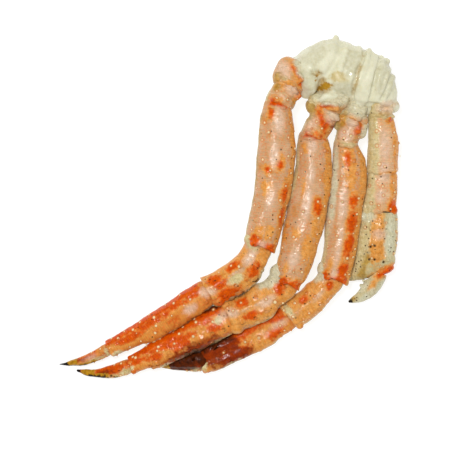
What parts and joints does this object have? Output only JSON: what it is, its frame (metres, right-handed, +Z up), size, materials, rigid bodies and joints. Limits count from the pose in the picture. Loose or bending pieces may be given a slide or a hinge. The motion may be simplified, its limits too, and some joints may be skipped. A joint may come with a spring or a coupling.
{
  "type": "king crab leg cluster",
  "caption": "Cooked king crab leg cluster: spiny jointed walking legs and a claw arm fanned out from one piece of shoulder.",
  "frame": {"origin": "under the middle of the cluster's box, on the surface that it lies on", "axes": "+Z up, away from the surface; +Y towards the shoulder; +X towards the claw arm"},
  "size_m": [0.3604, 0.3574, 0.0546],
  "materials": {
    "shoulder_membrane": "wet, cloudy, cream-coloured membrane and thin shell",
    "joint_shell": "cooked shell, cream with orange crests, wet",
    "leg_shell": "cooked shell, salmon pink with orange edges and cream underside, wet",
    "outer_leg_shell": "cooked shell, deep orange above and cream below, wet",
    "dark_tipped_claw": "cooked shell, orange, with a yellow band and a black horny point",
    "arm_shell": "cooked shell, pale salmon and cream, wet",
    "palm_shell": "cooked shell, greenish cream with an orange crown and dark dots, wet"
  },
  "bodies": {
    "root": {"shoulder": "shoulder_membrane", "leg_1_coxa": "joint_shell", "leg_1_ischium": "joint_shell", "leg_1_merus": "leg_shell", "leg_1_carpus": "leg_shell", "leg_1_propodus": "outer_leg_shell", "leg_1_dactylus": "dark_tipped_claw", "leg_2_coxa": "joint_shell", "leg_2_ischium": "joint_shell", "leg_2_merus": "leg_shell", "leg_2_carpus": "leg_shell", "leg_2_propodus": "outer_leg_shell", "leg_2_dactylus": "dark_tipped_claw", "leg_3_coxa": "joint_shell", "leg_3_ischium": "joint_shell", "leg_3_merus": "leg_shell", "leg_3_carpus": "leg_shell", "leg_3_propodus": "outer_leg_shell", "leg_3_dactylus": "dark_tipped_claw", "claw_arm_coxa": "joint_shell", "claw_arm_merus": "arm_shell", "claw_arm_carpus": "arm_shell", "claw_palm": "palm_shell", "claw_finger": "palm_shell"}
  },
  "joints": []
}
